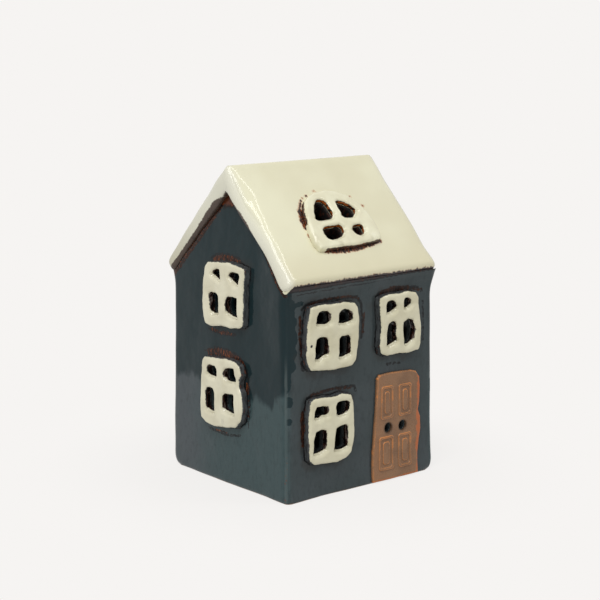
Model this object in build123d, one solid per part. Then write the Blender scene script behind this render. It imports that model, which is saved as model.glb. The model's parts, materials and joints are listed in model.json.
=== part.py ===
from build123d import *
import math
import os

# A tealight house: a small slab-built pottery house with a pitched roof.
# The front with the door faces -Y and the gables face -X and +X.
# The origin is at the middle of the base, where the house stands. Millimetres.

# House body
body_width = 84.0
body_depth = 80.0
eave_height = 89.6
foot_spread = 1.1
wall_thick = 6.0
floor_thick = 6.0
arris_radius = 3.0
foot_bevel = 0.8
cove_flare = 2.9
cove_drop = 7.5
gable_knee_height = 95.0
gable_lean = 2.8

# Roof
roof_pitch = 45.9
roof_thick = 6.6
verge_overhang = 0.4
eave_inset = 0.3
roof_corner_radius = 2.8
edge_roll = 2.6
soffit_bevel = 0.8
ridge_roll = 0.8

# Window pads and the panes that pierce them
pad_thick = 3.4
pad_draft = 9.0
pad_lip = 0.7
front_left_window_width = 29.4
front_left_window_height = 28.4
front_right_window_width = 24.7
front_right_window_height = 27.3
front_lower_window_width = 25.7
front_lower_window_height = 29.4
gable_upper_window_width = 29.8
gable_upper_window_height = 29.1
gable_lower_window_width = 29.8
gable_lower_window_height = 31.3

# Arched window in the roof
fanlight_width = 37.7
fanlight_height = 29.6
fanlight_thick = 2.8

# Door
door_width = 29.7
door_height = 48.6
door_thick = 1.4
door_lip = 0.4
knob_hole_dia = 4.7
moulding_height = 0.5
moulding_line = 1.0
moulding_corner_cut = 0.8
bar_inset = 2.4
door_sill = 0.6

# Rear arch for the light
arch_width = 46.0
arch_height = 46.0

# Tealight
cup_dia = 38.0
cup_height = 16.0
cup_thick = 0.5
cup_rim_width = 0.9
cup_pleats = 32
cup_clearance = 0.3
wax_height = 12.0
wax_clearance = 0.1
holder_dia = 12.0
holder_thick = 0.4
holder_neck_dia = 3.4
holder_neck_height = 4.0
wick_dia = 1.6
wick_above_wax = 7.0

# How far cuts run past what they cut
overrun = 2.0

# Places of the windows and the door, as shares of the wall or slope that carries them
upper_window_share = 0.515
lower_window_share = 0.601
front_upper_left_place_share = -0.2238
front_upper_right_place_share = 0.2411
front_lower_left_place_share = -0.2363
door_place_share = 0.231
gable_upper_place_shares = (0.0125, 0.938)
gable_lower_place_shares = (-0.005, 0.456)
fanlight_place_shares = (-0.0183, -0.5415)
knob_place_shares = ((-0.172, 0.479), (0.119, 0.475))

# Corners of the hand-cut pads and the door, as shares of their width and height
front_upper_left_shares = (
    (-0.425, 0.468), (-0.221, 0.489), (0.007, 0.471), (0.218, 0.482), (0.415, 0.443),
    (0.473, 0.369), (0.5, 0.168), (0.486, -0.113), (0.435, -0.434), (0.357, -0.501),
    (-0.024, -0.511), (-0.412, -0.469), (-0.469, -0.395), (-0.5, -0.219), (-0.473, 0.221),
)
front_upper_right_shares = (
    (-0.48, 0.465), (-0.294, 0.509), (-0.043, 0.498), (0.176, 0.516), (0.37, 0.476),
    (0.427, 0.399), (0.451, 0.164), (0.5, -0.085), (0.488, -0.356), (0.443, -0.458),
    (0.192, -0.484), (-0.018, -0.462), (-0.314, -0.477), (-0.46, -0.429), (-0.496, -0.319),
    (-0.456, 0.029), (-0.5, 0.358),
)
front_lower_left_shares = (
    (-0.446, 0.466), (-0.352, 0.496), (-0.13, 0.493), (0.041, 0.472), (0.243, 0.5),
    (0.43, 0.455), (0.477, 0.353), (0.5, 0.061), (0.492, -0.177), (0.438, -0.381),
    (0.329, -0.463), (0.134, -0.5), (-0.162, -0.48), (-0.387, -0.466), (-0.473, -0.402),
    (-0.5, -0.109), (-0.481, 0.316),
)
gable_upper_shares = (
    (-0.433, 0.39), (-0.369, 0.456), (-0.174, 0.48), (0.101, 0.5), (0.285, 0.49), (0.49, 0.456),
    (0.5, 0.342), (0.46, 0.198), (0.47, -0.153), (0.45, -0.393), (0.383, -0.435),
    (0.148, -0.462), (-0.067, -0.455), (-0.305, -0.5), (-0.43, -0.472), (-0.48, -0.345),
    (-0.5, -0.139), (-0.477, 0.191),
)
gable_lower_shares = (
    (-0.453, 0.401), (-0.406, 0.455), (-0.148, 0.477), (0.114, 0.5), (0.312, 0.49),
    (0.413, 0.445), (0.48, 0.33), (0.423, 0.241), (0.413, 0.145), (0.477, 0.081), (0.5, -0.155),
    (0.47, -0.321), (0.339, -0.427), (0.114, -0.465), (-0.154, -0.5), (-0.369, -0.481),
    (-0.477, -0.424), (-0.5, -0.251), (-0.49, 0.107),
)
fanlight_shares = (
    (-0.473, -0.5), (-0.5, -0.385), (-0.489, -0.233), (-0.452, -0.03), (-0.407, 0.162),
    (-0.338, 0.318), (-0.24, 0.422), (-0.118, 0.48), (0.041, 0.5), (0.174, 0.47), (0.32, 0.375),
    (0.413, 0.236), (0.474, 0.054), (0.5, -0.149), (0.489, -0.334), (0.444, -0.449),
    (0.28, -0.476), (0.041, -0.5),
)
door_shares = (
    (-0.495, 0.0), (-0.485, 0.133), (-0.465, 0.404), (-0.441, 0.779), (-0.431, 0.962),
    (-0.377, 0.992), (-0.131, 1.0), (0.289, 0.987), (0.397, 0.967), (0.468, 0.908),
    (0.485, 0.821), (0.471, 0.665), (0.448, 0.596), (0.488, 0.529), (0.502, 0.415),
    (0.465, 0.31), (0.434, 0.175), (0.421, 0.0),
)

# Corners of each pad's panes, pane by pane
front_upper_left_pane_shares = (
    (
        (-0.303, 0.214), (-0.306, 0.313), (-0.259, 0.376), (-0.197, 0.394), (-0.116, 0.383),
        (-0.054, 0.327), (-0.041, 0.211), (-0.116, 0.183), (-0.245, 0.197),
    ),
    (
        (0.112, 0.172), (0.116, 0.32), (0.16, 0.359), (0.224, 0.373), (0.306, 0.345),
        (0.361, 0.299), (0.381, 0.228), (0.381, 0.172), (0.218, 0.151),
    ),
    (
        (-0.337, -0.317), (-0.333, -0.145), (-0.31, -0.022), (-0.238, 0.007), (-0.129, -0.008),
        (-0.095, -0.06), (-0.102, -0.272), (-0.177, -0.289), (-0.238, -0.335),
    ),
    (
        (0.116, -0.342), (0.119, -0.074), (0.167, -0.032), (0.286, -0.032), (0.33, -0.082),
        (0.327, -0.324), (0.19, -0.353),
    ),
)
front_upper_right_pane_shares = (
    (
        (-0.326, 0.216), (-0.342, 0.347), (-0.314, 0.391), (-0.253, 0.406), (-0.18, 0.399),
        (-0.095, 0.311), (-0.115, 0.26), (-0.229, 0.216),
    ),
    (
        (0.095, 0.256), (0.075, 0.351), (0.099, 0.402), (0.16, 0.41), (0.221, 0.395),
        (0.269, 0.3), (0.176, 0.249),
    ),
    (
        (-0.322, -0.297), (-0.334, -0.118), (-0.286, 0.021), (-0.205, 0.069), (-0.136, 0.058),
        (-0.107, -0.008), (-0.14, -0.118), (-0.083, -0.264), (-0.205, -0.301), (-0.269, -0.327),
    ),
    (
        (0.095, -0.327), (0.059, -0.085), (0.071, 0.018), (0.176, 0.065), (0.297, 0.04),
        (0.35, -0.118), (0.306, -0.297), (0.217, -0.349), (0.136, -0.352),
    ),
)
front_lower_left_pane_shares = (
    (
        (-0.368, 0.211), (-0.364, 0.306), (-0.317, 0.374), (-0.193, 0.37), (-0.084, 0.347),
        (-0.076, 0.217), (-0.177, 0.231), (-0.247, 0.2),
    ),
    (
        (0.115, 0.207), (0.099, 0.326), (0.134, 0.381), (0.196, 0.394), (0.329, 0.387),
        (0.391, 0.353), (0.375, 0.241), (0.329, 0.194), (0.189, 0.17),
    ),
    (
        (-0.387, -0.32), (-0.383, -0.123), (-0.333, 0.0), (-0.232, 0.027), (-0.13, 0.01),
        (-0.103, -0.048), (-0.119, -0.283), (-0.239, -0.313),
    ),
    (
        (0.06, -0.32), (0.072, -0.143), (0.107, 0.0), (0.189, 0.02), (0.302, 0.03), (0.356, 0.0),
        (0.352, -0.15), (0.329, -0.194), (0.36, -0.31), (0.228, -0.334),
    ),
)
gable_upper_pane_shares = (
    (
        (-0.295, 0.284), (-0.235, 0.349), (-0.164, 0.38), (-0.094, 0.376), (-0.074, 0.291),
        (-0.081, 0.212), (-0.128, 0.215), (-0.211, 0.256),
    ),
    (
        (0.128, 0.294), (0.148, 0.346), (0.201, 0.376), (0.356, 0.373), (0.383, 0.328),
        (0.349, 0.212), (0.302, 0.191), (0.188, 0.239),
    ),
    (
        (-0.346, -0.029), (-0.289, 0.012), (-0.174, 0.016), (-0.114, -0.029), (-0.117, -0.276),
        (-0.268, -0.307), (-0.309, -0.263), (-0.309, -0.129),
    ),
    (
        (0.054, -0.16), (0.05, -0.084), (0.091, -0.015), (0.171, 0.002), (0.319, 0.005),
        (0.319, -0.173), (0.336, -0.27), (0.302, -0.297), (0.168, -0.28), (0.081, -0.256),
    ),
)
gable_lower_pane_shares = (
    (
        (-0.332, 0.209), (-0.336, 0.318), (-0.302, 0.356), (-0.148, 0.356), (-0.114, 0.318),
        (-0.111, 0.235), (-0.148, 0.196),
    ),
    (
        (0.057, 0.247), (0.054, 0.324), (0.101, 0.366), (0.188, 0.385), (0.302, 0.388),
        (0.315, 0.305), (0.352, 0.254), (0.326, 0.206), (0.181, 0.19), (0.107, 0.203),
    ),
    (
        (-0.366, -0.251), (-0.379, -0.063), (-0.342, 0.017), (-0.258, 0.04), (-0.188, 0.027),
        (-0.158, -0.027), (-0.168, -0.296), (-0.255, -0.305), (-0.342, -0.289),
    ),
    (
        (0.034, -0.206), (0.04, -0.034), (0.087, 0.011), (0.188, 0.017), (0.295, 0.024),
        (0.305, -0.155), (0.312, -0.248), (0.228, -0.251), (0.064, -0.232),
    ),
)
fanlight_pane_shares = (
    (
        (-0.306, 0.024), (-0.29, 0.122), (-0.229, 0.257), (-0.176, 0.321), (-0.123, 0.348),
        (-0.07, 0.331), (-0.041, 0.284), (-0.02, 0.074), (-0.054, 0.017), (-0.118, -0.007),
        (-0.272, -0.007),
    ),
    (
        (0.094, 0.041), (0.089, 0.172), (0.102, 0.284), (0.142, 0.304), (0.237, 0.25),
        (0.296, 0.189), (0.33, 0.122), (0.317, 0.061), (0.248, -0.014), (0.121, 0.0),
    ),
    (
        (-0.312, -0.257), (-0.304, -0.189), (-0.261, -0.142), (-0.152, -0.128), (-0.028, -0.122),
        (0.001, -0.176), (-0.012, -0.264), (-0.065, -0.321), (-0.145, -0.348), (-0.24, -0.361),
        (-0.288, -0.328),
    ),
    (
        (0.121, -0.236), (0.142, -0.186), (0.19, -0.159), (0.285, -0.155), (0.296, -0.223),
        (0.272, -0.324), (0.2, -0.345), (0.153, -0.314),
    ),
)

# Door panels: left, right, bottom and top shares of the door
door_panel_shares = (
    (-0.35, -0.078, 0.568, 0.87),
    (0.03, 0.289, 0.568, 0.862),
    (-0.371, -0.074, 0.095, 0.405),
    (0.023, 0.289, 0.091, 0.401),
)

# Sizes worked out from those above
pitch = math.radians(roof_pitch)
half_width = body_width / 2
half_depth = body_depth / 2
soffit_edge = half_depth - eave_inset
soffit_apex = eave_height + soffit_edge * math.tan(pitch)
roof_apex = soffit_apex + roof_thick / math.cos(pitch)
eave_reach = soffit_edge + roof_thick * math.sin(pitch)
slope_length = eave_reach / math.cos(pitch)
roof_length = body_width + 2 * verge_overhang
mitre_offset = half_width - half_depth
reach = max(body_width, body_depth, roof_apex)


def closed_face(points):
    return make_face(Polyline(*points, close=True))


def scaled(points, width, height):
    return [(across * width, up * height) for across, up in points]


def extruded(face, from_height, to_height, taper=0.0):
    return extrude(Pos(0, 0, from_height) * face, amount=to_height - from_height, taper=taper)


# Distance of a wall's outer face from the middle, which grows towards the foot
def wall_face(half_size, height):
    return half_size + foot_spread * (1 - height / eave_height)


# Roof: a plate with rolled edges, tilted to the pitch and mitred at the ridge
def slope_plane():
    return Plane(origin=(0, 0, roof_apex), x_dir=(1, 0, 0), z_dir=(0, -math.sin(pitch), math.cos(pitch)))


def slab_rim(plate, which):
    face = plate.faces().filter_by(Plane.XY).sort_by(Axis.Z)[which]
    return face.edges().sort_by(Axis.Y)[:-1]


def under_ridge():
    far_height = roof_apex - reach * math.tan(pitch)
    triangle = closed_face([(-reach, far_height), (0, roof_apex), (reach, far_height)])
    ridge = triangle.vertices().sort_by(Axis.Y)[-1]
    return extrude(Plane.YZ * fillet(ridge, ridge_roll), amount=reach, both=True)


def make_front_slab():
    plate_length = slope_length + roof_thick
    plate_place = Pos(0, roof_thick - plate_length / 2, -roof_thick / 2)
    plate = plate_place * Box(roof_length, plate_length, roof_thick)
    eave_corners = plate.edges().filter_by(Axis.Z).group_by(Axis.Y)[0]
    plate = fillet(eave_corners, roof_corner_radius)
    plate = fillet(slab_rim(plate, -1), edge_roll)
    plate = chamfer(slab_rim(plate, 0), soffit_bevel)
    front_half = Pos(0, -reach / 2, 0) * Box(2 * reach, reach, 4 * reach)
    return (slope_plane() * plate) & front_half & under_ridge()


# House body: an outline seen from the gable, crossed with one seen from the front
def gable_view_face():
    cove_edge = half_depth + cove_flare
    cove_bottom = eave_height - cove_drop
    cove_top = eave_height + (cove_edge - soffit_edge) / math.tan(pitch)
    crown_apex = (soffit_apex + roof_apex) / 2
    foot_point = (wall_face(half_depth, 0), 0)
    wall_line = Line(foot_point, (wall_face(half_depth, cove_bottom), cove_bottom))
    cove = TangentArc(wall_line @ 1, (cove_edge, cove_top), tangent=wall_line % 1)
    crown = Polyline(cove @ 1, ((crown_apex - cove_top) / math.tan(pitch), cove_top), (0, crown_apex))
    right = wall_line + cove + crown
    left = mirror(right, about=Plane.YZ)
    base = Line((-foot_point[0], 0), foot_point)
    return make_face(right.edges() + left.edges() + base.edges())


def front_view_face(inset, bottom):
    knee = wall_face(half_width, gable_knee_height) - inset
    lean_slope = gable_lean / (soffit_apex - gable_knee_height)
    top = knee - lean_slope * (roof_apex - gable_knee_height)
    side = [(wall_face(half_width, bottom) - inset, bottom), (knee, gable_knee_height), (top, roof_apex)]
    return closed_face(side + [(-across, up) for across, up in reversed(side)])


def cavity_side_face(bottom, top):
    side = [(wall_face(half_depth, height) - wall_thick, height) for height in (bottom, top)]
    return closed_face(side + [(-across, up) for across, up in reversed(side)])


def crossed(side_face, front_face):
    side_run = extrude(Plane.YZ * side_face, amount=reach, both=True)
    front_run = extrude(Plane.XZ * front_face, amount=reach, both=True)
    return side_run & front_run


def is_arris(edge):
    middle = edge @ 0.5
    upright = edge.bounding_box().size.Z > wall_thick
    return upright and abs(middle.X) > half_width - wall_thick and abs(middle.Y) > half_depth - wall_thick


def make_body():
    body = crossed(gable_view_face(), front_view_face(0, 0))
    body = fillet(body.edges().filter_by(is_arris), arris_radius)
    foot = body.faces().sort_by(Axis.Z)[0]
    return chamfer(foot.edges(), foot_bevel)


def make_cavity():
    return crossed(cavity_side_face(-overrun, roof_apex), front_view_face(wall_thick, -overrun))


# The ring of walls is mitred at its corners, so each side's wall lies in one wedge
def side_wedge(toward_x, toward_y):
    apex = (toward_x * mitre_offset, -toward_y * mitre_offset)
    corner_x = half_width + reach
    corner_y = half_depth + reach
    if toward_y:
        corners = [(-corner_x, toward_y * corner_y), (corner_x, toward_y * corner_y)]
    else:
        corners = [(toward_x * corner_x, -corner_y), (toward_x * corner_x, corner_y)]
    return extruded(closed_face([apex, *corners]), -overrun, reach + overrun)


def make_floor(cavity):
    return cavity & (Pos(0, 0, floor_thick / 2) * Box(2 * reach, 2 * reach, floor_thick))


# Planes of the outer faces, with the origin at the foot and Y up the wall
def front_plane():
    foot = (0, -wall_face(half_depth, 0), 0)
    return Plane(origin=foot, x_dir=(1, 0, 0), z_dir=(0, -eave_height, foot_spread))


def left_gable_plane():
    foot = (-wall_face(half_width, 0), 0, 0)
    return Plane(origin=foot, x_dir=(0, -1, 0), z_dir=(-eave_height, 0, foot_spread))


# Windows: a pad with sloping sides, and the cutters of its panes
def pane_cutter(corners, width, height, thickness, wall):
    face = closed_face(scaled(corners, width, height))
    return extruded(face, -wall - overrun, thickness + overrun)


def make_window(shares, pane_shares, width, height, thickness, wall):
    outline = closed_face(scaled(shares, width, height))
    blank = extruded(outline, thickness, -wall / 2, -pad_draft)
    cutters = [pane_cutter(corners, width, height, thickness, wall) for corners in pane_shares]
    pad = blank - cutters
    return chamfer(pad.faces().sort_by(Axis.Z)[-1].edges(), pad_lip), cutters


# Door: a thin leaf with raised double-line panels and two pierced knob holes
def panel_face(left, right, bottom, top, inset):
    width = (right - left) * door_width - 2 * inset
    height = (top - bottom) * door_height - 2 * inset
    face = Rectangle(width, height)
    centre = Pos((left + right) / 2 * door_width, (bottom + top) / 2 * door_height)
    return centre * chamfer(face.vertices(), moulding_corner_cut)


def make_mouldings():
    top = door_thick + moulding_height
    mouldings = []
    for panel in door_panel_shares:
        loop = panel_face(*panel, 0) - panel_face(*panel, moulding_line)
        bar = panel_face(*panel, bar_inset)
        mouldings.append(extruded(loop, door_thick / 2, top))
        mouldings.append(extruded(bar, door_thick / 2, top))
    return mouldings


def make_door():
    outline = closed_face(scaled(door_shares, door_width, door_height - door_sill))
    leaf = extruded(outline, -wall_thick / 2, door_thick)
    leaf = chamfer(leaf.faces().sort_by(Axis.Z)[-1].edges(), door_lip)
    holes = []
    for across, up in knob_place_shares:
        hole = Circle(knob_hole_dia / 2)
        place = Pos(across * door_width, up * door_height)
        holes.append(place * extruded(hole, -wall_thick - overrun, door_thick + overrun))
    return leaf + make_mouldings() - holes, holes


# Rear arch, wide enough to slide the light in
def arch_cutter():
    radius = arch_width / 2
    spring = floor_thick + arch_height - radius
    sides = Polyline((-radius, spring), (-radius, floor_thick), (radius, floor_thick), (radius, spring))
    crown = ThreePointArc((radius, spring), (0, spring + radius), (-radius, spring))
    return extrude(Plane.XZ * make_face(sides.edges() + crown.edges()), amount=-reach)


# Tealight: a pleated aluminium cup of wax with a wick in its holder
def pleated(radius, bottom, top):
    return extruded(RegularPolygon(radius, cup_pleats), bottom, top)


def make_cup():
    outer = cup_dia / 2
    wall = pleated(outer, 0, cup_height)
    rim = pleated(outer + cup_rim_width, cup_height - cup_thick, cup_height)
    hollow = pleated(outer - cup_thick, cup_thick, cup_height + overrun)
    return wall + rim - hollow


def make_wax():
    return pleated(cup_dia / 2 - cup_thick - wax_clearance, cup_thick, cup_thick + wax_height)


def make_wick_holder():
    flange_top = cup_thick + holder_thick
    flange = extruded(Circle(holder_dia / 2), cup_thick, flange_top)
    neck = extruded(Circle(holder_neck_dia / 2), flange_top, flange_top + holder_neck_height)
    return flange + neck


def make_wick():
    return extruded(Circle(wick_dia / 2), cup_thick + holder_thick, cup_thick + wax_height + wick_above_wax)


# Assembly
parts = {}
body = make_body()
cavity = make_cavity()
front_slab = make_front_slab()
back_slab = mirror(front_slab, about=Plane.XZ)
shell = body - cavity - front_slab - back_slab
front_wall = shell & side_wedge(0, -1)
left_gable_wall = shell & side_wedge(-1, 0)
parts["floor"] = make_floor(cavity)
parts["back_wall"] = (shell & side_wedge(0, 1)) - arch_cutter()

# Windows on the front and the left gable: outline, panes, width, height and place on the wall
upper_height = door_height + (eave_height - door_height) * upper_window_share
lower_height = door_height * lower_window_share
front_windows = {
    "front_upper_left_window": (
        front_upper_left_shares,
        front_upper_left_pane_shares,
        front_left_window_width,
        front_left_window_height,
        (front_upper_left_place_share * body_width, upper_height),
    ),
    "front_upper_right_window": (
        front_upper_right_shares,
        front_upper_right_pane_shares,
        front_right_window_width,
        front_right_window_height,
        (front_upper_right_place_share * body_width, upper_height),
    ),
    "front_lower_left_window": (
        front_lower_left_shares,
        front_lower_left_pane_shares,
        front_lower_window_width,
        front_lower_window_height,
        (front_lower_left_place_share * body_width, lower_height),
    ),
}
gable_windows = {
    "gable_upper_window": (
        gable_upper_shares,
        gable_upper_pane_shares,
        gable_upper_window_width,
        gable_upper_window_height,
        scaled([gable_upper_place_shares], body_depth, eave_height)[0],
    ),
    "gable_lower_window": (
        gable_lower_shares,
        gable_lower_pane_shares,
        gable_lower_window_width,
        gable_lower_window_height,
        scaled([gable_lower_place_shares], body_depth, eave_height)[0],
    ),
}

for name, (shares, pane_shares, width, height, place) in front_windows.items():
    pad, cutters = make_window(shares, pane_shares, width, height, pad_thick, wall_thick)
    where = front_plane() * Pos(*place)
    parts[name] = (where * pad) - body - front_slab
    front_wall -= [where * cutter for cutter in cutters]

for name, (shares, pane_shares, width, height, place) in gable_windows.items():
    pad, cutters = make_window(shares, pane_shares, width, height, pad_thick, wall_thick)
    where = left_gable_plane() * Pos(*place)
    parts["left_" + name] = (where * pad) - body - front_slab - back_slab
    parts["right_" + name] = mirror(parts["left_" + name], about=Plane.YZ)
    left_gable_wall -= [where * cutter for cutter in cutters]

door, knob_holes = make_door()
door_place = front_plane() * Pos(door_place_share * body_width, door_sill)
parts["door_panel"] = (door_place * door) - body
front_wall -= [door_place * hole for hole in knob_holes]
parts["front_wall"] = front_wall
parts["left_gable_wall"] = left_gable_wall
parts["right_gable_wall"] = mirror(left_gable_wall, about=Plane.YZ)

fanlight_size = (fanlight_width, fanlight_height, fanlight_thick, roof_thick)
fanlight, fanlight_cutters = make_window(fanlight_shares, fanlight_pane_shares, *fanlight_size)
fanlight_place = slope_plane() * Pos(*scaled([fanlight_place_shares], roof_length, slope_length)[0])
parts["roof_fanlight"] = (fanlight_place * fanlight) - front_slab
parts["front_roof_slab"] = front_slab - [fanlight_place * cutter for cutter in fanlight_cutters]
parts["back_roof_slab"] = back_slab

light_place = Pos(0, 0, floor_thick + cup_clearance)
wick_holder = make_wick_holder()
wick = make_wick()
parts["tealight_cup"] = light_place * make_cup()
parts["tealight_wax"] = light_place * (make_wax() - wick_holder - wick)
parts["tealight_wick_holder"] = light_place * (wick_holder - wick)
parts["tealight_wick"] = light_place * wick

os.makedirs("parts", exist_ok=True)
for name, solid in parts.items():
    export_step(solid, f"parts/{name}.step")

whole = Compound(children=list(parts.values()))
print("size", whole.bounding_box().size)
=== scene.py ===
# %% [markdown]
# # A tealight house in glazed pottery
# This lesson dresses the plain solids of a small pottery house, so that it looks like fired and glazed
# clay. They hold every size, so all the pieces below are placed by them. The box of the solids is kept, and
# no point of a skin is moved out of it.

# %% Load the frame
import json
import math

import bpy
import numpy as np
from mathutils import Matrix, Vector
from mathutils.bvhtree import BVHTree
from mathutils.kdtree import KDTree

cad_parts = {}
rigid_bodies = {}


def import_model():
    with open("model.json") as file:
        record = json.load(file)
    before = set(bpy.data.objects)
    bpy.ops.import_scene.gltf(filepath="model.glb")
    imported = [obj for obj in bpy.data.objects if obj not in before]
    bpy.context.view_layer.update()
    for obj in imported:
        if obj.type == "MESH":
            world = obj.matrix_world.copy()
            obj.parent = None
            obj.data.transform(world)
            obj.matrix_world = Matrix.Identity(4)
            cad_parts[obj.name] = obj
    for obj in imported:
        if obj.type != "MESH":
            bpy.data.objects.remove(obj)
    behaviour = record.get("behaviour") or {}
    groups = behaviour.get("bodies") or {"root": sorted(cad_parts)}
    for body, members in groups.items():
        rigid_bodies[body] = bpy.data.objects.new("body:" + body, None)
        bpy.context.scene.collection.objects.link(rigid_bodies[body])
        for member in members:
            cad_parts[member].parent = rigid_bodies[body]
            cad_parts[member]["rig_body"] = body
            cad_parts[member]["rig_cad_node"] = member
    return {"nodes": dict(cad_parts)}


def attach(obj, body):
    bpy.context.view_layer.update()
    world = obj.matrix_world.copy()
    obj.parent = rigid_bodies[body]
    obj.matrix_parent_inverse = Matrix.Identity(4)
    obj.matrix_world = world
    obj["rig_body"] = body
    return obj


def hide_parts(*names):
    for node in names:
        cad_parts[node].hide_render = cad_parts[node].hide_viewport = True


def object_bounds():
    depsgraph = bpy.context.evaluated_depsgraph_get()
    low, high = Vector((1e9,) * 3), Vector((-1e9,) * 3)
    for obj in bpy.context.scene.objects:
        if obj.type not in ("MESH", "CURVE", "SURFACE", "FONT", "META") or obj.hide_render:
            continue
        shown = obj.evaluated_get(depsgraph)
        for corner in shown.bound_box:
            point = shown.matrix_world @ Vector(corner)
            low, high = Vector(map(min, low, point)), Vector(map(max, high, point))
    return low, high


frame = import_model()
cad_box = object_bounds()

MM = 0.001
corners_of_box = [[round(value, 4) for value in corner] for corner in cad_box]
print("solids", len(frame["nodes"]), "box", corners_of_box)

# %% [markdown]
# ## The house in numbers
# The walls lean in a little from the foot to the eave, and the roof is pitched at 45.9 degrees. The shapes
# and the finishes need these few sizes, in millimetres. The four functions say how far a point lies out
# from a wall, above the top of a roof slab, or down its slope from the ridge. They take arrays of points as
# well as shader sockets.

# %% Sizes of the house
HALF_WIDTH = 42.0
HALF_DEPTH = 40.0
EAVE_HEIGHT = 89.6
FOOT_SPREAD = 1.1
GABLE_PEAK = 130.57
ROOF_APEX = 140.05
ROOF_THICK = 6.6
ROOF_LENGTH = 84.8
SLOPE_LENGTH = 63.9
PITCH = math.radians(45.9)


def lean(z):
    return (1 - z * (1 / EAVE_HEIGHT)) * FOOT_SPREAD


def out_of_front(y, z):
    return abs(y) - HALF_DEPTH - lean(z)


def out_of_side(x, z):
    return abs(x) - HALF_WIDTH - lean(z)


def roof_depth(y, z):
    return (z - ROOF_APEX) * math.cos(PITCH) + abs(y) * math.sin(PITCH)


def roof_down(y, z):
    return abs(y) * math.cos(PITCH) + (ROOF_APEX - z) * math.sin(PITCH)


print("roof apex", ROOF_APEX, "slope", SLOPE_LENGTH)

# %% [markdown]
# ## Camera
# The view is from the front left and a little above. The lens is long, so the upright edges stay nearly
# parallel. The place comes from a turn about the house, a height and a distance. The camera could be aimed
# with a constraint, but built from its three axes, with one of them level, it can't roll.

# %% Camera
TURN = math.radians(-39.849)
RAISE = math.radians(10.374)
AWAY = 727.52
ACROSS = -0.83
UP = 75.55
LENS = 95.47
SENSOR = 36

back = Vector((math.sin(TURN) * math.cos(RAISE), -math.cos(TURN) * math.cos(RAISE), math.sin(RAISE)))
right = Vector((math.cos(TURN), math.sin(TURN), 0))
above = back.cross(right)
bpy.ops.object.select_all(action="DESELECT")
bpy.ops.object.camera_add()
camera = bpy.context.object
camera.name = "camera"
turned = Matrix((right, above, back)).transposed().to_4x4()
camera.matrix_world = Matrix.Translation((back * AWAY + right * ACROSS + above * UP) * MM) @ turned
camera.data.lens = LENS
camera.data.sensor_width = SENSOR
camera.data.clip_start = 10 * MM
bpy.context.scene.camera = camera
print("camera", [round(value, 4) for value in camera.location])

# %% [markdown]
# ## Shader maths
# A material is a net of nodes, which is slow to read when every node is written out. One small class wraps
# a socket, so that a sum or a product of sockets can be written as it is on paper. It also has two soft
# steps, which take two values: between rises from 0 at the first to 1 at the second, and below falls from
# 1 to 0.

# %% Sockets that can be added and multiplied
class Wire:
    def __init__(self, finish, socket):
        self.finish = finish
        self.socket = socket

    def maths(self, operation, *values):
        return self.finish.maths_of(operation, *values)

    def __add__(self, other):
        return self.maths("ADD", self, other)

    def __radd__(self, other):
        return self.maths("ADD", other, self)

    def __sub__(self, other):
        return self.maths("SUBTRACT", self, other)

    def __rsub__(self, other):
        return self.maths("SUBTRACT", other, self)

    def __mul__(self, other):
        return self.maths("MULTIPLY", self, other)

    def __rmul__(self, other):
        return self.maths("MULTIPLY", other, self)

    def __neg__(self):
        return 0 - self

    def __abs__(self):
        return self.maths("ABSOLUTE", self)

    def larger(self, other):
        return self.maths("MAXIMUM", self, other)

    def smaller(self, other):
        return self.maths("MINIMUM", self, other)

    def between(self, low, high):
        sockets = {"Value": self, "From Min": low, "From Max": high}
        return self.finish.add("ShaderNodeMapRange", {"interpolation_type": "SMOOTHSTEP"}, sockets)

    def below(self, low, high):
        return 1 - self.between(low, high)


# %% [markdown]
# Another class holds a material while it is made. Its method add makes any other node from its type, its
# settings and the values or links of its sockets. The point's own place, in millimetres, is there from the
# start, since nearly every mark in a glaze lies somewhere on the house. A cloud is noise whose lumps have a
# size in millimetres, and its seed says where in the noise it is taken from.

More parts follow.
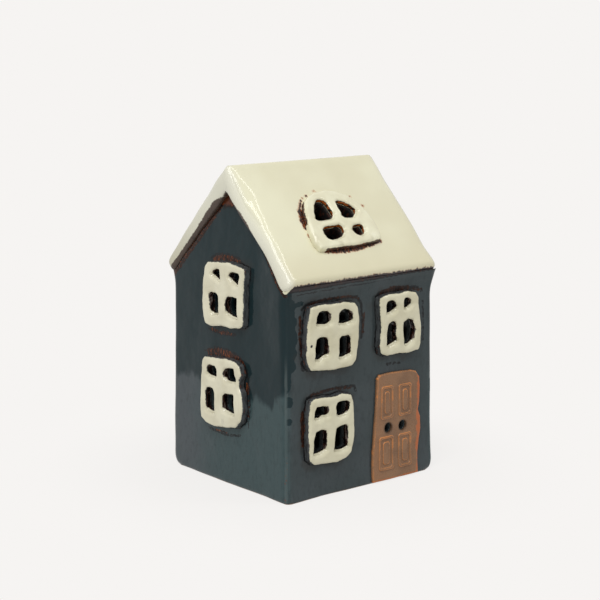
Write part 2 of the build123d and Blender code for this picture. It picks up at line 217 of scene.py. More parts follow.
# %% A material while it is made
class Finish:
    def __init__(self, name, **settings):
        self.material = bpy.data.materials.new(name)
        self.material.use_nodes = True
        self.tree = self.material.node_tree
        self.shader = self.tree.nodes["Principled BSDF"]
        for socket, value in settings.items():
            self.set(socket.replace("_", " ").title().replace("Ior", "IOR"), value)
        self.place = self.add("ShaderNodeTexCoord", output="Object")
        split = self.add("ShaderNodeSeparateXYZ", {}, {0: self.place}, output=None)
        self.x, self.y, self.z = [Wire(self, socket) * (1 / MM) for socket in split.outputs]

    def add(self, kind, settings=None, sockets=None, output=0):
        node = self.tree.nodes.new(kind)
        for name, value in (settings or {}).items():
            setattr(node, name, value)
        for name, value in (sockets or {}).items():
            self.feed(node.inputs[name], value)
        return node if output is None else Wire(self, node.outputs[output])

    def feed(self, socket, value):
        if isinstance(value, Wire):
            self.tree.links.new(value.socket, socket)
        elif isinstance(value, tuple) and len(value) == 3 and socket.type == "RGBA":
            socket.default_value = (*value, 1)
        else:
            socket.default_value = value

    def set(self, socket, value):
        self.feed(self.shader.inputs[socket], value)

    def cloud(self, size, detail=2.0, rough=0.5, stretch=(1, 1, 1), seed=0.0):
        scale = tuple(1000 / (size * part) for part in stretch)
        mapping = {"Vector": self.place, "Location": (seed, seed, seed), "Scale": scale}
        spot = self.add("ShaderNodeMapping", {}, mapping)
        noise = {"Vector": spot, "Scale": 1.0, "Detail": detail, "Roughness": rough}
        return self.add("ShaderNodeTexNoise", {}, noise)

    def blend(self, share, low, high):
        sockets = {0: share, 6: low, 7: high}
        return self.add("ShaderNodeMix", {"data_type": "RGBA"}, sockets, output=2)

    def attribute(self, name):
        return self.add("ShaderNodeAttribute", {"attribute_name": name}, output="Fac")

    def maths_of(self, operation, *values):
        return self.add("ShaderNodeMath", {"operation": operation}, dict(enumerate(values)))

    def distance(self, across, up):
        return self.maths_of("SQRT", across * across + up * up)

    def bump(self, height, strength):
        sockets = {"Height": height, "Strength": strength, "Distance": MM}
        self.set("Normal", self.add("ShaderNodeBump", {}, sockets))

    def report(self):
        print(self.material.name, len(self.tree.nodes), "nodes")


# %% Colours as they are seen
def shade(code):
    parts = [int(code[start:start + 2], 16) / 255 for start in (0, 2, 4)]
    return tuple(part / 12.92 if part <= 0.04045 else ((part + 0.055) / 1.055) ** 2.4 for part in parts)


print("shader tools ready", shade("808080"))

# %% [markdown]
# ## Clay from solids
# The solids have hard edges, and fired clay has none. Bevels on every edge would all be alike, so a copy of
# the solids is taken instead: its loose triangles are merged, and what is one lump of clay is joined into
# one shell.

# %% A copy of some solids as one shell
def pick(*pieces):
    bpy.ops.object.select_all(action="DESELECT")
    for piece in pieces:
        piece.select_set(True)
    bpy.context.view_layer.objects.active = pieces[0]


def use(piece, kind, **settings):
    modifier = piece.modifiers.new(kind.lower(), kind)
    for name, value in settings.items():
        setattr(modifier, name, value)
    pick(piece)
    bpy.ops.object.modifier_apply(modifier=modifier.name)


def clay_copy(name, *nodes):
    copies = []
    for node in nodes:
        pick(frame["nodes"][node])
        bpy.ops.object.duplicate()
        copies.append(bpy.context.object)
        copies[-1].parent = None
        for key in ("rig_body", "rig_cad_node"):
            del copies[-1][key]
        bpy.ops.object.mode_set(mode="EDIT")
        bpy.ops.mesh.select_all(action="SELECT")
        bpy.ops.mesh.remove_doubles(threshold=0.002 * MM)
        bpy.ops.object.mode_set(mode="OBJECT")
    piece = copies[0]
    piece.name = name
    for other in copies[1:]:
        use(piece, "BOOLEAN", operation="UNION", object=other)
        bpy.data.objects.remove(other)
    return piece


# %% [markdown]
# A voxel remesh rebuilds the shell as a fine even skin, and smoothing it rounds every edge as thick glaze
# does. A slow cloud of noise then moves the skin by a fraction of a millimetre, so that reflections wander
# as they do on hand-built pottery.

# %% An even skin with slow lumps
LUMPS_START = (7.3, 3.1, 5.7)


def remeshed(piece, grain):
    piece.data.remesh_voxel_size = grain * MM
    pick(piece)
    bpy.ops.object.voxel_remesh()


def smoothed(piece, rounds):
    use(piece, "SMOOTH", factor=0.5, iterations=rounds)


def uneven(piece, size, depth, seed, direction="NORMAL"):
    lumps = bpy.data.textures.new(f"lumps_{piece.name}_{seed}", "CLOUDS")
    lumps.noise_scale = size * MM
    lumps.noise_depth = 1
    lumps.cloud_type = "COLOR" if direction == "RGB_TO_XYZ" else "GRAYSCALE"
    start = bpy.data.objects.new(f"start_{seed}", None)
    start.location = tuple(seed * MM * step for step in LUMPS_START)
    bpy.context.scene.collection.objects.link(start)
    bpy.context.view_layer.update()
    use(piece, "DISPLACE", texture=lumps, strength=depth * MM, mid_level=0.5, texture_coords="OBJECT",
        texture_coords_object=start, direction=direction)
    bpy.data.objects.remove(start)


# %% [markdown]
# The skins are then shaped like wet clay, by moving their points. All the points are read as one array,
# worked on, and put back, never out of the box of the solids. A value can also be kept on each point, for a
# material to read.

# %% Points of a skin
BOX_MARGIN = 0.001 * MM


def places(piece):
    flat = np.empty(len(piece.data.vertices) * 3, dtype=np.float32)
    piece.data.vertices.foreach_get("co", flat)
    return flat.reshape(-1, 3)


def moved(piece, spots):
    low, high = np.array(cad_box[0]), np.array(cad_box[1])
    spots = np.clip(spots * MM, low + BOX_MARGIN, high - BOX_MARGIN)
    piece.data.vertices.foreach_set("co", spots.astype(np.float32).ravel())
    piece.data.update()


def mark(piece, name, values):
    layer = piece.data.attributes.new(name, "FLOAT", "POINT")
    layer.data.foreach_set("value", np.asarray(values, dtype=np.float32))


def eased(values, low, high):
    share = np.clip((values - low) / (high - low), 0, 1)
    return share * share * (3 - 2 * share)


print("halfway eased", float(eased(0.5, 0, 1)), "a quarter eased", float(eased(0.25, 0, 1)))

# %% [markdown]
# ## Walls
# The four walls and the floor were joined before the firing, and one glaze runs over them. Five skins would
# show a seam at every corner, so they become one.

# %% Walls and floor
WALLS = ("front_wall", "back_wall", "left_gable_wall", "right_gable_wall", "floor")
walls = clay_copy("walls", *WALLS)
remeshed(walls, grain=0.93)
smoothed(walls, rounds=2)
uneven(walls, size=24, depth=0.7, seed=1)
print("walls", len(walls.data.vertices), "points")

# %% [markdown]
# The foot of the house was rubbed round on its corners while the clay was wet. All but the near corner, on
# the front left, are rounded more and more toward the floor. The near corner and the front spread a little
# at the foot.

# %% Foot of the walls
FOOT_ROUND = 9.6
FOOT_HEIGHT = 6.0
TOE_HEIGHT = 12
TOE_REACH = 1.2
TOE_FRONT = (30, 39)
SPREAD_HEIGHT = 14
SPREAD_REACH = 0.8
SPREAD_LEFT = (26, 41)
SPREAD_FRONT = (24, 39)


def rounded_foot(x, y, z):
    corner_x = HALF_WIDTH + FOOT_SPREAD - FOOT_ROUND
    corner_y = HALF_DEPTH + FOOT_SPREAD - FOOT_ROUND
    beyond_x = np.maximum(np.abs(x) - corner_x, 0)
    beyond_y = np.maximum(np.abs(y) - corner_y, 0)
    out = np.hypot(beyond_x, beyond_y)
    high = np.clip(z / FOOT_HEIGHT, 0, 1)
    low = 1 - np.sqrt(1 - (1 - high) ** 2)
    low = np.where((x < 0) & (y < 0), 0.0, low)
    excess = np.where((beyond_x > 0) & (beyond_y > 0), np.maximum(out - FOOT_ROUND, 0), 0) * low
    pull = excess / np.maximum(out, 1e-6)
    return np.sign(x) * (np.abs(x) - beyond_x * pull), np.sign(y) * (np.abs(y) - beyond_y * pull)


def toe(y, z):
    return (1 - np.clip(z / TOE_HEIGHT, 0, 1)) ** 2 * eased(-y, *TOE_FRONT) * TOE_REACH


def near_spread(x, y, z):
    low = (1 - np.clip(z / SPREAD_HEIGHT, 0, 1)) ** 2
    return low * eased(-x, *SPREAD_LEFT) * eased(-y, *SPREAD_FRONT) * SPREAD_REACH


print("toe", round(float(toe(-HALF_DEPTH, 0)), 2), "mm at the floor")

# %% [markdown]
# The tops of the walls were pushed out to carry the roof, most at the two front corners. The push is across
# the house only. On the left it grows slowly from half the height, and on the right it comes just under the
# eave. The right gable also stands out by a third of a millimetre, all the way up.

# %% Tops of the walls
FLARE_RIGHT_FRONT = 1.3
FLARE_RIGHT = 0.35
FLARE_LEFT_FRONT = 1.7
UNDER_EAVE = (76, 89)
UPPER_HALF = (40, 92)
RIGHT_SIDE = (30, 41)
RIGHT_SIDE_FRONT = (30, 40)
LEFT_SIDE = (28, 41)
LEFT_SIDE_FRONT = (20, 40)


def top_flare(x, y, z):
    right, left = eased(x, *RIGHT_SIDE), eased(-x, *LEFT_SIDE)
    right_front = eased(z, *UNDER_EAVE) ** 2 * right * eased(-y, *RIGHT_SIDE_FRONT) * FLARE_RIGHT_FRONT
    left_front = eased(z, *UPPER_HALF) * left * eased(-y, *LEFT_SIDE_FRONT) * FLARE_LEFT_FRONT
    return right_front + right * FLARE_RIGHT - left_front


x, y, z = (places(walls) / MM).T
new_x, new_y = rounded_foot(x, y, z)
spread = near_spread(x, y, z)
new_x = new_x - spread + top_flare(x, y, z)
new_y = new_y - spread - toe(y, z)
moved(walls, np.stack([new_x, new_y, z], axis=1))
print("walls pushed by up to", round(float(np.abs(new_x - x).max()), 2), "mm across")

# %% [markdown]
# ## Roof
# The two slabs meet in a mitre under the ridge, and the glaze closes it. They become one skin too, with a
# finer grain than the walls, because their rolled edges catch the light.

# %% Roof
roof = clay_copy("roof", "front_roof_slab", "back_roof_slab")
remeshed(roof, grain=0.585)
print("roof", len(roof.data.vertices), "points")

# %% [markdown]
# The verge of the front slab is rolled over wider and less evenly than its eave. The roll's radius changes
# along the slope, which makes the bright line on it wander. The solids already have a small roll, so only
# the difference between the two is taken off, straight down, and less toward the underside of the slab.

# %% Rolled verge
ROLL_DOWN = (0, 8, 18, 30, 42, 56, 64)
ROLL_RADIUS = (3.2, 5.6, 7.6, 5.6, 3.8, 4.6, 4.4)
ROLL_RIGHT = 3.4
EDGE_ROLL = 2.6
PAST_RIDGE = (-1, 5)


def roll_drop(edge, radius):
    over = np.clip(radius - edge, 0, radius)
    return radius - np.sqrt(np.maximum(radius * radius - over * over, 0))


def verge_drop(x, y, z, edge):
    radius = np.where(x < 0, np.interp(roof_down(y, z), ROLL_DOWN, ROLL_RADIUS), ROLL_RIGHT)
    radius = radius + (EDGE_ROLL - radius) * eased(y, *PAST_RIDGE)
    first = roll_drop(edge, EDGE_ROLL)
    extra = roll_drop(edge, radius) - first
    share = np.clip(1 - extra / np.maximum(ROOF_THICK - first, 0.5), 0, 1)
    return np.where(extra > 0, (roof_depth(y, z) + ROOF_THICK) * (share - 1), 0)


print("left roll", min(ROLL_RADIUS), "to", max(ROLL_RADIUS), "mm, right roll", ROLL_RIGHT, "mm")

# %% [markdown]
# Two waves of different lengths run along the verge, and the back slab is a little crowned, as a slab is
# that dries over a former. Both lift the top of a slab, out from its slope, and leave the underside where
# it is.

# %% Waves and crown
WAVE = 0.22
WAVE_STRETCH = 5.1
RIPPLE = 0.08
RIPPLE_STRETCH = 2.9
VERGE_WIDE = 12
CROWN = 1.15
CROWN_START = (0, 10)


def slab_lift(x, y, z, edge):
    depth, down = roof_depth(y, z), roof_down(y, z)
    wave = np.sin(down / WAVE_STRETCH + 0.8) * WAVE
    wave = wave + np.sin(down / RIPPLE_STRETCH + np.abs(x) / 4 + 2.0) * RIPPLE
    lift = wave * eased(VERGE_WIDE - edge, 0, 9) * eased(-y, 0, 6) * np.clip(1 + depth / 5, 0, 1)
    crown = np.sin(np.clip(down / SLOPE_LENGTH, 0, 1) * math.pi) * CROWN
    return lift + crown * eased(y, *CROWN_START) * np.clip(1 + depth / 6, 0, 1)


print("waves up to", round(WAVE + RIPPLE, 2), "mm, crown", CROWN, "mm")

# %% [markdown]
# The left end of the roof was pressed by hand. The peak and both lower corners stand out a little, and the
# underside sags below the peak. The ridge itself is a soft ridge of glaze, half a millimetre high, on the
# smoothed skin.

# %% Where the left end was pressed
END_LOW = (46, 64)
END_LEFT = (28, 42)
END_BACK = (10, 30)
TIP_LOW = (40, 63)
TIP_LEFT = (24, 41)
TIP_FRONT = (16, 40)
PEAK_LEFT = (34, 42)
PEAK_OFF_RIDGE = (3, 16)
PEAK_DEEP = (2, 6)
SAG_LEFT = (36, 41)
SAG_OFF_RIDGE = (4, 24)
SAG_DEEP = (3, 6)

x, y, z = (places(roof) / MM).T
deep, down = -roof_depth(y, z), roof_down(y, z)
end = eased(down, *END_LOW) * eased(-x, *END_LEFT) * eased(y, *END_BACK)
tip = eased(down, *TIP_LOW) * eased(-x, *TIP_LEFT) * eased(-y, *TIP_FRONT)
peak = eased(-x, *PEAK_LEFT) * (1 - eased(np.abs(y), *PEAK_OFF_RIDGE)) * (1 - eased(deep, *PEAK_DEEP))
sag = eased(-x, *SAG_LEFT) * (1 - eased(np.abs(y), *SAG_OFF_RIDGE)) * eased(deep, *SAG_DEEP)
print("points of the tip", int((tip > 0.5).sum()), "of the peak", int((peak > 0.5).sum()))

# %% The roof's points moved
END_DROP = 1.0
END_OUT = 1.2
TIP_OUT = 1.6
PEAK_OUT = 1.0
PEAK_UP = 0.5
SAG = 2.0
edge = np.maximum(ROOF_LENGTH / 2 - np.abs(x), 0)
lift = slab_lift(x, y, z, edge)
new_x = x - end * END_OUT - peak * PEAK_OUT - tip * TIP_OUT
new_y = y + np.where(y < 0, -1.0, 1.0) * lift * math.sin(PITCH)
new_z = z + verge_drop(x, y, z, edge) / math.cos(PITCH) + lift * math.cos(PITCH)
new_z = new_z - end * END_DROP + peak * PEAK_UP - sag * SAG
moved(roof, np.stack([new_x, new_y, new_z], axis=1))
smoothed(roof, rounds=40)
uneven(roof, size=14, depth=0.5, seed=2)
print("verge down by up to", round(float(-verge_drop(x, y, z, edge).min()), 2), "mm")

# %% Ridge
RIDGE_UP = 0.5
RIDGE_HALF = (0.5, 7)
RIDGE_FOOT = (134, 138)
raised = places(roof) / MM
on_ridge = (1 - eased(np.abs(raised[:, 1]), *RIDGE_HALF)) * eased(raised[:, 2], *RIDGE_FOOT)
raised[:, 2] += RIDGE_UP * on_ridge
moved(roof, raised)
print("roof top at", round(float(places(roof)[:, 2].max() / MM), 2), "mm")

# %% [markdown]
# ## Window pads
# Each pad is cut by hand from a slab and pierced, so its edge is a little chipped. A small noise in all
# directions chips it, and the smoothing after it leaves the soft shoulder of thick glaze.

# %% Window pads
FRONT_PADS = ("front_upper_left_window", "front_upper_right_window", "front_lower_left_window")
GABLE_PADS = ("left_gable_upper_window", "left_gable_lower_window", "right_gable_upper_window",
              "right_gable_lower_window")
GLAZE_THICK = 0.1
pads = {}
for index, node in enumerate(FRONT_PADS + GABLE_PADS + ("roof_fanlight",)):
    pad = clay_copy(node.replace("_window", "") + "_pad", node)
    remeshed(pad, grain=0.3)
    smoothed(pad, rounds=6)
    uneven(pad, size=3.2, depth=0.35, seed=10 + index, direction="RGB_TO_XYZ")
    smoothed(pad, rounds=12)
    use(pad, "DISPLACE", strength=GLAZE_THICK * MM, mid_level=0.0)
    uneven(pad, size=8, depth=0.3, seed=40 + index)
    pads[node] = pad
print("pads", ", ".join(pad.name for pad in pads.values()))

# %% [markdown]
# ## Door
# The door is a thin leaf with fine raised lines, so its skin needs the finest grain. Its left edge leans in
# toward the top, and its foot follows the toe of the wall.

# %% Door
DOOR_LEAN = 1.5
LEAN_RISE = (6, 46)
LEAN_END = 15
LEAN_WIDE = 9
door = clay_copy("door", "door_panel")
remeshed(door, grain=0.26)
smoothed(door, rounds=3)
uneven(door, size=6, depth=0.25, seed=30)
x, y, z = (places(door) / MM).T
leant = eased(z, *LEAN_RISE) * np.clip((LEAN_END - x) / LEAN_WIDE, 0, 1) * DOOR_LEAN
moved(door, np.stack([x + leant, y - toe(y, z), z], axis=1))
print("door", len(door.data.vertices), "points")

# %% [markdown]
# ## How far the glaze is from a pad
# A dark glaze runs thin where it meets a raised pad, and the iron in the clay shows there as a rust brown
# halo. The halo needs the distance from each point of the wall to the nearest pad. It is measured on the
# solids and kept on the skin as an attribute, which the material reads.

# %% Distance to the pads
def solid_tree(node):
    mesh = frame["nodes"][node].data
    corners = [vertex.co for vertex in mesh.vertices]
    return BVHTree.FromPolygons(corners, [tuple(face.vertices) for face in mesh.polygons])


trees = [solid_tree(node) for node in FRONT_PADS + GABLE_PADS]
gaps = [min(tree.find_nearest(Vector(spot))[3] for tree in trees) / MM for spot in places(walls)]
mark(walls, "pad_gap", gaps)
print("nearest", round(min(gaps), 2), "farthest", round(max(gaps), 1))

# %% [markdown]
# ## Brush strokes
# Other marks in the glaze follow the hand and not the shape: the drips beside the corner post, the rusty
# arches over the windows, the burnt edge under the arched window. They are drawn as strokes. A stroke is a
# radius and a row of points, in millimetres on its wall, and the distance to the nearest stroke is kept as
# an attribute. The material adds noise to that distance, so that the edge of a stroke is ragged.

# %% Distance to the nearest stroke
FAR = 30.0


def stroke_gap(across, up, strokes):
    nearest = np.full(len(across), FAR)
    for radius, *corners in strokes:
        for (ax, ay), (bx, by) in zip(corners, corners[1:] or corners):
            run, rise = bx - ax, by - ay
            share = ((across - ax) * run + (up - ay) * rise) / max(run * run + rise * rise, 1e-9)
            share = np.clip(share, 0, 1)
            gap = np.hypot(across - ax - share * run, up - ay - share * rise) - radius
            nearest = np.minimum(nearest, gap)
    return nearest


def on_walls(front=(), gable=(), back=()):
    x, y, z = (places(walls) / MM).T
    is_gable = np.abs(x) - HALF_WIDTH > np.abs(y) - HALF_DEPTH
    on_ends = np.where(y < 0, stroke_gap(x, z, front), stroke_gap(-np.abs(x), z, back))
    return np.where(is_gable, stroke_gap(-y, z, gable), on_ends)


# %% Drips of teal beside the corner post
CORNER_DRIPS = (
    (4.2, (-44, 88), (-44, 51)), (3.6, (-41, 84), (-41, 63)), (1.0, (-40, 84.4), (-33.8, 84.8)),
    (2.2, (-38.3, 77.5)), (2.7, (-38.8, 71.5)), (2.2, (-38.2, 69.4)), (2.0, (-38.4, 64.2)),
    (2.2, (-39.2, 58.6)), (1.7, (-40.6, 44.4), (-40.6, 43.0)), (1.5, (-40.6, 35.3)),
)
mark(walls, "drip_gap", on_walls(front=CORNER_DRIPS, back=CORNER_DRIPS))
print("drips", len(CORNER_DRIPS))

# %% Rust and dark lines round the windows of the front
FRONT_RUST = (
    (0.7, (-34.6, 79), (-34.8, 70), (-34.2, 63)), (0.5, (-31, 83.6), (-22, 85.2), (-8, 85), (-2, 83.4)),
    (0.6, (1.0, 77), (0.6, 68)), (1.1, (11, 84.2), (18, 85.4), (27, 84.8)), (0.6, (30, 84), (35, 83.2)),
    (0.9, (-33.8, 38), (-34, 30), (-33.4, 24)), (0.5, (-29, 45), (-18, 46), (-6, 45.2)),
)
FRONT_DARK = (
    (0.7, (-33.5, 82.4), (-30, 84.4), (-14, 85.1), (-3, 84.2), (-0.6, 81), (0.2, 74), (-0.3, 66)),
    (0.7, (8, 83), (10, 84.6), (20, 85.3), (32, 84.6), (35.6, 82.4)), (0.5, (36.4, 78), (36.6, 60)),
    (0.5, (14.5, 52.2), (22.5, 52)), (0.7, (-31, 44), (-28, 45.2), (-16, 46), (-5, 45.6), (-3.6, 43.5)),
    (0.8, (-34, 60), (-33, 56.5)), (0.5, (-33, 22), (-31, 18)),
)
print("front strokes", len(FRONT_RUST + FRONT_DARK))

# %% Rust and dark lines round the windows of the gables
GABLE_RUST = (
    (1.8, (-8.5, 98.2), (-4, 99.3), (3, 99.4), (8, 98.2)), (0.7, (-11, 67.4), (-5, 66.9), (3, 67.5)),
    (1.5, (-12.6, 56.8), (-7, 58), (0, 58.2), (7, 57), (11, 55)), (0.9, (14.4, 46.6), (14.6, 43.4)),
    (0.35, (15.6, 40), (15.4, 33)), (0.4, (-8, 22.6), (0, 22.8)),
)
GABLE_DARK = (
    (0.5, (-12, 98.6), (-8, 100.8), (0, 101.6), (8, 100.7), (12, 98)),
    (0.5, (14.9, 95), (15.2, 84), (14.8, 73)), (0.6, (-13, 67.2), (-4, 66.3), (6, 67.4)),
    (0.5, (-16, 57), (-9, 59.5), (0, 60), (9, 58.2), (14, 53), (16, 45)),
    (0.4, (16, 45), (16.4, 36), (15.2, 28)), (0.5, (-13, 22.5), (0, 21.8), (10, 23.4)),
)
mark(walls, "rust_gap", on_walls(front=FRONT_RUST, gable=GABLE_RUST))
mark(walls, "dark_gap", on_walls(front=FRONT_DARK, gable=GABLE_DARK))
print("gable strokes", len(GABLE_RUST + GABLE_DARK))

# %% The shore where the second coat ends
SHORE_ACROSS = (-44, -30, -22, -14, 14, 20, 25, 29, 31.5, 33, 36, 44)
SHORE_HEIGHT = (43, 44, 45, 40, 38, 42.5, 41, 39.5, 38.5, 44, 46, 47)
x, y, z = (places(walls) / MM).T
mark(walls, "shore_gap", np.interp(-y, SHORE_ACROSS, SHORE_HEIGHT) - z)
print("shore from", min(SHORE_HEIGHT), "to", max(SHORE_HEIGHT), "mm up")

# %% Strokes on the roof
ROOF_RUST = (
    (0.9, (-15.6, 49.6), (-12.5, 49.8)), (1.7, (-11.5, 49.6), (-3, 49.8), (5, 49.3)),
    (1.2, (6, 49.2), (10.5, 48.6)), (0.9, (11.5, 48.6), (16.5, 47.8)), (0.5, (-13.6, 22.4), (-16.4, 26)),
    (1.2, (-17, 27.5), (-18.8, 33)), (0.9, (-19, 34), (-19.2, 37)), (0.5, (-18.2, 38.6)),
    (0.45, (-19.9, 40.2), (-19.9, 41.4)), (0.35, (-19.8, 43.6)), (0.4, (-9.2, 19.9)), (0.5, (-3.6, 17.8)),
    (0.3, (-12, 21)), (0.45, (18.4, 28.2)), (0.3, (14.5, 22.5)),
)
PAD_RUST = (
    (1.3, (-15.5, 48.8), (-3, 49), (6, 48.8), (16.4, 47.6)), (1.5, (-15, 24), (-17.6, 29), (-18.2, 35)),
)
for piece, strokes in ((roof, ROOF_RUST), (pads["roof_fanlight"], PAD_RUST)):
    x, y, z = (places(piece) / MM).T
    mark(piece, "rust_gap", np.where(y < 0, stroke_gap(x, roof_down(y, z), strokes), FAR))
print("roof strokes", len(ROOF_RUST + PAD_RUST))

# %% [markdown]
# ## Inside a pane
# The inner walls of a pane are dark, and the outer side of a pad isn't. A ray tells them apart: one that
# leaves the inner wall of a pane straight on meets the same pad again, and one from the outer side meets
# nothing. Each ray starts a little off the skin and a little under the pad's face.

# %% Inner walls of the panes
RAY_OFF = 0.9
RAY_UNDER = 0.5
RAY_LENGTH = 16
SIDEWAYS = 0.45


def inner_walls(piece, node, axis):
    tree = solid_tree(node)
    found = np.zeros(len(piece.data.vertices))
    for vertex in piece.data.vertices:
        normal = vertex.normal - axis * vertex.normal.dot(axis)
        if normal.length < SIDEWAYS:
            continue
        normal.normalize()
        start = vertex.co + normal * RAY_OFF * MM - axis * RAY_UNDER * MM
        found[vertex.index] = tree.ray_cast(start, normal, RAY_LENGTH * MM)[0] is not None
    return found


def gap_to(piece, chosen):
    spots = places(piece) / MM
    tree = KDTree(len(chosen))
    for order, index in enumerate(chosen):
        tree.insert(spots[index], order)
    tree.balance()
    return np.array([tree.find(spot)[2] for spot in spots])


# %% [markdown]
# The glaze has pooled on the lower edge of each pane and made a soft sloping sill there. The skin is
# pressed in along those edges, less and less with the distance from them.

# %% Sills
SILL_DEEP = 2.2
LEVEL = 0.7


def cut_sills(piece, node, axis, reach, press):
    pane = inner_walls(piece, node, axis)
    mark(piece, "pane", pane)
    spots = places(piece) / MM
    below = spots @ np.array(axis)
    below = below.max() - below
    upward = np.array([vertex.normal.z for vertex in piece.data.vertices])
    lower_edges = np.flatnonzero((pane > 0.5) & (upward > LEVEL) & (below < SILL_DEEP))
    near = np.clip(1 - gap_to(piece, lower_edges) / reach, 0, 1) ** 2
    push = press * near * np.clip((SILL_DEEP + 0.2 - below) / 2, 0, 1)
    moved(piece, spots - push[:, None] * np.array(axis))
    mark(piece, "sill", near)


slope_axis = Vector((0, -math.sin(PITCH), math.cos(PITCH)))
for node in FRONT_PADS:
    cut_sills(pads[node], node, Vector((0, -1, 0)), reach=2.2, press=1.3)
for node in GABLE_PADS:
    cut_sills(pads[node], node, Vector((-1 if "left" in node else 1, 0, 0)), reach=2.0, press=1.2)
cut_sills(pads["roof_fanlight"], "roof_fanlight", slope_axis, reach=1.6, press=0.9)
print("sills cut on", len(pads), "pads")

# %% [markdown]
# The panes of the arched window go on through the slab under it. The same rays find their walls there, and
# only the part of the slope that lies under the pad is looked at, because rays also meet the far side of
# the mitre.

# %% Inner walls in the roof slab
PAD_HALF = 21
PAD_TOP = 14
PAD_FOOT = 54
PANE_HALO = 1.1
x, y, z = (places(roof) / MM).T
down = roof_down(y, z)
under_pad = (np.abs(x) < PAD_HALF) & (y < 0) & (down > PAD_TOP) & (down < PAD_FOOT)
pierced = np.flatnonzero((inner_walls(roof, "front_roof_slab", slope_axis) > 0.5) & under_pad)
mark(roof, "pane", gap_to(roof, pierced) < PANE_HALO)
print("points in the roof's panes", len(pierced))

# %% [markdown]
# ## Edges of the door
# The glaze wears off an edge first. A copy of the door is smoothed until its lines are gone, and where the
# door stands proud of that copy it has an edge.

# %% Proud edges
pick(door)
bpy.ops.object.duplicate()
blurred = bpy.context.object
smoothed(blurred, rounds=14)
normals = np.empty(len(door.data.vertices) * 3, dtype=np.float32)
door.data.vertices.foreach_get("normal", normals)
proud = ((places(door) - places(blurred)) * normals.reshape(-1, 3)).sum(axis=1) / MM
bpy.data.objects.remove(blurred)
mark(door, "proud", proud)
print("door proud by", round(float(proud.min()), 3), "to", round(float(proud.max()), 3), "mm")

# %% [markdown]
# ## Colours
# The glazes are a slate blue that breaks to teal, a cream, and a thin brown on the door. Where glaze runs
# thin it turns rust brown, and the bare clay under the house is buff. Broken iron is the speckle of dark,
# burnt, rusty and amber dots in such a place. One cloud with rising thresholds makes it, so that the pale
# dots sit inside dark ones.

# %% Colours
SLATE = shade("3f484a")
TEAL = shade("1a2c30")
IRON = shade("1b1210")
BURNT = shade("301d15")
RUST = shade("74381b")
AMBER = shade("b8652c")
SHADOW = shade("1c1d1e")
# The near black of painted shade, for the inside of the house and the hollows of panes and holes.
PAINTED_SHADE = shade("110e0d")
CREAM = shade("e7e4c7")
CREAM_DEEP = shade("ddd8ba")
CLAY = shade("a5805e")


def broken_iron(finish, share, seed, stretch=(1, 1, 1), size=0.9):
    specks = finish.cloud(size, 3, 0.6, stretch, seed)
    burnt = finish.blend(specks.between(0.38, 0.5), IRON, BURNT)
    burnt = finish.blend(specks.between(0.5, 0.58) * share, burnt, RUST)
    return finish.blend(specks.between(0.58, 0.68) * share, burnt, AMBER)


print("slate", [round(part, 3) for part in SLATE], "cream", [round(part, 3) for part in CREAM])

# %% [markdown]
# ## Wall glaze
# The slate glaze is thick and glossy. It could be one colour with a little noise, but on the real thing the
# coats and runs can be told apart, so it is built up coat by coat, each with a mask of its own. The masks
# are made from the point's own place, the distances kept above and noise, so the skin needs no unwrapping.
# First come the clouds that all the masks share, and the mask of the gables.

# %% Clouds in the wall glaze
glaze = Finish("wall_glaze", specular_ior_level=0.16)
x, y, z = glaze.x, glaze.y, glaze.z
out_front = out_of_front(y, z)
out_side = out_of_side(x, z)
wander = glaze.cloud(7, 3, 0.55, seed=3.0) - 0.5
broad = glaze.cloud(22, 3, 0.5, seed=8.0)
ragged = glaze.cloud(1.3, 3, 0.65, seed=21.0) - 0.5
runs = glaze.cloud(5, 2, 0.5, stretch=(1, 1, 4.5), seed=5.0) - 0.5
mottle = glaze.cloud(1.8, 4, 0.6, stretch=(1, 1, 2), seed=11.0)
on_gable = (out_side - out_front).between(-1.6, 0.6)
glaze.report()

# %% [markdown]
# The glaze is mostly teal on the gables and grey on the front, with paler patches on the front. The teal
# reaches round the corner post, and low on the gables a paler coat begins at a wandering shore. Toward the
# back of each gable the glaze is painted lighter and greyer as a painted reflection.

# %% Coats of slate and teal
SHORE = shade("405153")
PALE_SLATE_AND_SHEEN = shade("50565a")
PALE_SLATE_AND_SHEEN_START = 17
shore = (glaze.attribute("shore_gap") + wander * 6 + runs * 6).between(-2.2, 2.2)
# Painted reflection: the low coat turns pale toward the back of each gable.
back_sheen = (y - PALE_SLATE_AND_SHEEN_START + wander * 14).between(-14.0, 14.0)
low = glaze.blend(back_sheen * (0.6 + broad * 0.5), SHORE, PALE_SLATE_AND_SHEEN)
gable = glaze.blend(shore, TEAL, low)
# The greyer tone is partly random and partly a painted sheen that grows toward the back.
greyer = (broad + runs * 0.5 + y * 0.01).between(0.4, 0.8) * (1 - shore)
gable = glaze.blend(greyer * 0.22, gable, SLATE)
front = glaze.blend(broad.between(0.4, 0.75) * 0.4, SLATE, PALE_SLATE_AND_SHEEN)
around_corner = (out_side - out_front).between(-4.5, 0.8)
slate = glaze.blend(around_corner, front, gable)
slate = glaze.blend(mottle.between(0.45, 0.8) * 0.25, slate, SHADOW)
glaze.report()

# %% [markdown]
# Glaze draws back from a sharp edge, so the lower part of each corner post is a pale line, and the line is
# also a painted highlight on the edge. A few specks of rust lie near the foot. Beside it hang the drips of
# teal.

# %% Corner posts and drips
POST_PALE_AND_HIGHLIGHT = shade("66706f")
POST_WIDTH = (0.5, 1.3)
POST_TOP = (52.0, 66.0)
POST_RUST_TOP = (14.0, 24.0)
post = abs(out_side - out_front + wander).below(*POST_WIDTH) * z.below(*POST_TOP)
